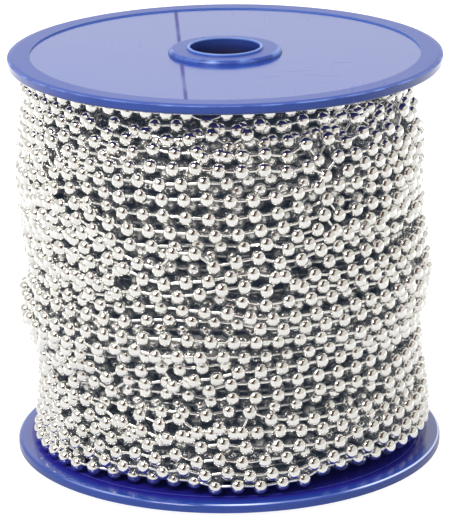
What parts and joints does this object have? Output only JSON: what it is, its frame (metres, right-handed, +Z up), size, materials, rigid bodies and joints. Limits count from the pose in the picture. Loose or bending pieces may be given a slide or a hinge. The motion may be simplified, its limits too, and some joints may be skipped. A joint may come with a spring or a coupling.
{
  "type": "reel of ball chain",
  "caption": "Bright plated ball chain wound full on a blue two-piece plastic reel with flat flanges and a hub bore.",
  "frame": {"origin": "on the reel's axis, in the plane of the lower hub lip that it stands on", "axes": "+Z up along the reel's axis; +X and +Y are equivalent directions across the flanges"},
  "size_m": [0.118, 0.118, 0.1142],
  "materials": {
    "reel_plastic": "blue moulded plastic with a satin gloss, duller on the raised rim band",
    "chain_plating": "mirror-bright plated steel balls and links, faintly warm"
  },
  "bodies": {
    "root": {"lower_reel_half": "reel_plastic", "upper_reel_half": "reel_plastic", "wound_ball_chain": "chain_plating"}
  },
  "joints": []
}
